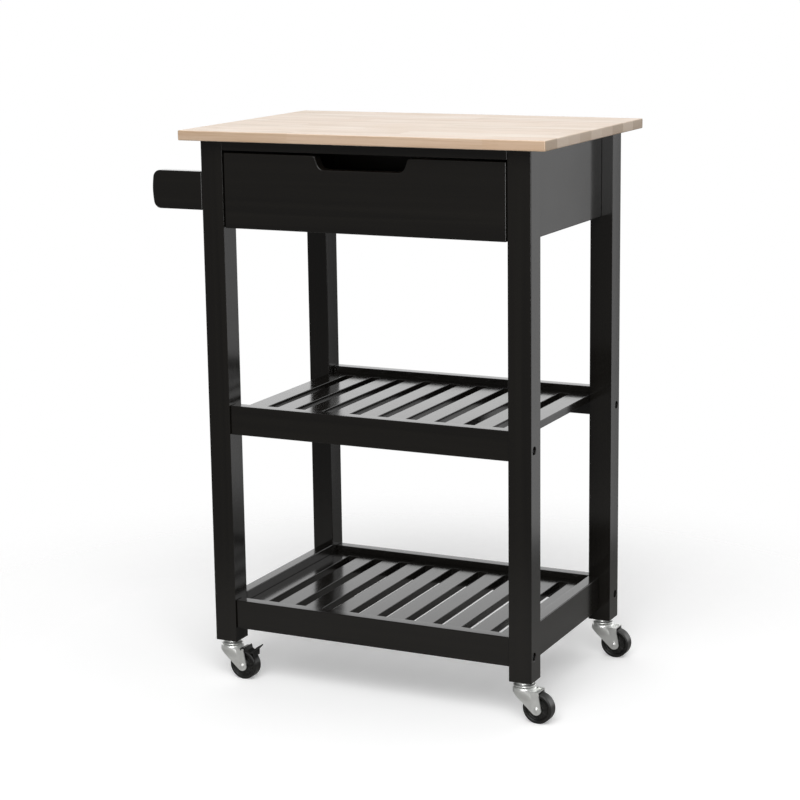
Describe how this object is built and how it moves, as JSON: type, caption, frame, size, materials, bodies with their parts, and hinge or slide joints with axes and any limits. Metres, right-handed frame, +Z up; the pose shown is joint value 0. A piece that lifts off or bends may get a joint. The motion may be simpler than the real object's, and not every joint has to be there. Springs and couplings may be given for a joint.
{
  "type": "kitchen cart",
  "caption": "Rolling kitchen cart with a butcher block top, a drawer, an end push handle, two slatted shelves and swivel casters.",
  "frame": {"origin": "on the floor, under the middle of the overall box", "axes": "+Z up, -Y towards the front with the drawer, -X towards the end with the handle"},
  "size_m": [0.6478, 0.4, 0.8572],
  "materials": {
    "butcher_block": "satin oiled, edge-glued staves",
    "black_lacquer": "black semi-gloss lacquer on wood",
    "drawer_plywood": "stained black, grain showing",
    "slide_steel": "zinc plated",
    "bolt_steel": "black oxide",
    "zinc": "bright zinc plate",
    "wheel_black": "moulded",
    "pedal_black": "moulded"
  },
  "bodies": {
    "frame": {"top": "butcher_block", "leg_front_left": "black_lacquer", "leg_front_right": "black_lacquer", "leg_rear_left": "black_lacquer", "leg_rear_right": "black_lacquer", "top_front_rail": "black_lacquer", "rear_apron": "black_lacquer", "side_apron_left": "black_lacquer", "side_apron_right": "black_lacquer", "mid_rail_front": "black_lacquer", "mid_rail_rear": "black_lacquer", "mid_panel": "black_lacquer", "mid_cleat_front": "black_lacquer", "mid_cleat_rear": "black_lacquer", "low_rail_front": "black_lacquer", "low_rail_rear": "black_lacquer", "low_rail_left": "black_lacquer", "low_rail_right": "black_lacquer", "low_panel": "black_lacquer", "low_cleat_front": "black_lacquer", "low_cleat_rear": "black_lacquer", "handle_arm_front": "black_lacquer", "handle_arm_rear": "black_lacquer", "handle_bar": "black_lacquer", "slide_rail_left": "slide_steel", "slide_rail_right": "slide_steel", "bolt_mid_front_left": "bolt_steel", "bolt_mid_front_right": "bolt_steel", "bolt_mid_rear_left": "bolt_steel", "bolt_mid_rear_right": "bolt_steel", "bolt_low_front_left": "bolt_steel", "bolt_low_front_right": "bolt_steel", "bolt_low_rear_left": "bolt_steel", "bolt_low_rear_right": "bolt_steel", "caster_mount_front_left": "zinc", "caster_mount_front_right": "zinc", "caster_mount_rear_left": "zinc", "caster_mount_rear_right": "zinc"},
    "drawer": {"drawer_front": "black_lacquer", "drawer_side_left": "drawer_plywood", "drawer_side_right": "drawer_plywood", "drawer_back": "drawer_plywood", "drawer_bottom": "drawer_plywood", "slide_runner_left": "slide_steel", "slide_runner_right": "slide_steel"},
    "swivel_front_left": {"caster_fork_front_left": "zinc", "caster_axle_front_left": "zinc"},
    "wheel_front_left": {"caster_wheel_front_left": "wheel_black"},
    "brake_front_left": {"brake_pedal_front_left": "pedal_black"},
    "swivel_front_right": {"caster_fork_front_right": "zinc", "caster_axle_front_right": "zinc"},
    "wheel_front_right": {"caster_wheel_front_right": "wheel_black"},
    "swivel_rear_left": {"caster_fork_rear_left": "zinc", "caster_axle_rear_left": "zinc"},
    "wheel_rear_left": {"caster_wheel_rear_left": "wheel_black"},
    "brake_rear_left": {"brake_pedal_rear_left": "pedal_black"},
    "swivel_rear_right": {"caster_fork_rear_right": "zinc", "caster_axle_rear_right": "zinc"},
    "wheel_rear_right": {"caster_wheel_rear_right": "wheel_black"}
  },
  "joints": [
    {"name": "drawer_slide", "type": "slide", "parent": "frame", "child": "drawer", "axis": [0, -1, 0], "range_m": [0, 0.22]},
    {"name": "caster_swivel_front_left", "type": "hinge", "parent": "frame", "child": "swivel_front_left", "pos_m": [-0.21865, -0.164, 0.052], "axis": [0, 0, 1], "continuous": true},
    {"name": "wheel_spin_front_left", "type": "hinge", "parent": "swivel_front_left", "child": "wheel_front_left", "pos_m": [-0.19546, -0.16461, 0.023], "axis": [0.0262, 0.9997, 0], "continuous": true},
    {"name": "brake_press_front_left", "type": "hinge", "parent": "swivel_front_left", "child": "brake_front_left", "pos_m": [-0.19666, -0.16458, 0.049], "axis": [0.0262, 0.9997, 0], "range_deg": [0, 4]},
    {"name": "caster_swivel_front_right", "type": "hinge", "parent": "frame", "child": "swivel_front_right", "pos_m": [0.27735, -0.164, 0.052], "axis": [0, 0, 1], "continuous": true},
    {"name": "wheel_spin_front_right", "type": "hinge", "parent": "swivel_front_right", "child": "wheel_front_right", "pos_m": [0.30054, -0.16481, 0.023], "axis": [0.0349, 0.9994, 0], "continuous": true},
    {"name": "caster_swivel_rear_left", "type": "hinge", "parent": "frame", "child": "swivel_rear_left", "pos_m": [-0.21865, 0.164, 0.052], "axis": [0, 0, 1], "continuous": true},
    {"name": "wheel_spin_rear_left", "type": "hinge", "parent": "swivel_rear_left", "child": "wheel_rear_left", "pos_m": [-0.19548, 0.16279, 0.023], "axis": [0.0523, 0.9986, 0], "continuous": true},
    {"name": "brake_press_rear_left", "type": "hinge", "parent": "swivel_rear_left", "child": "brake_rear_left", "pos_m": [-0.19668, 0.16285, 0.049], "axis": [0.0523, 0.9986, 0], "range_deg": [0, 4]},
    {"name": "caster_swivel_rear_right", "type": "hinge", "parent": "frame", "child": "swivel_rear_right", "pos_m": [0.27735, 0.164, 0.052], "axis": [0, 0, 1], "continuous": true},
    {"name": "wheel_spin_rear_right", "type": "hinge", "parent": "swivel_rear_right", "child": "wheel_rear_right", "pos_m": [0.30055, 0.16359, 0.023], "axis": [0.0175, 0.9998, 0], "continuous": true}
  ]
}
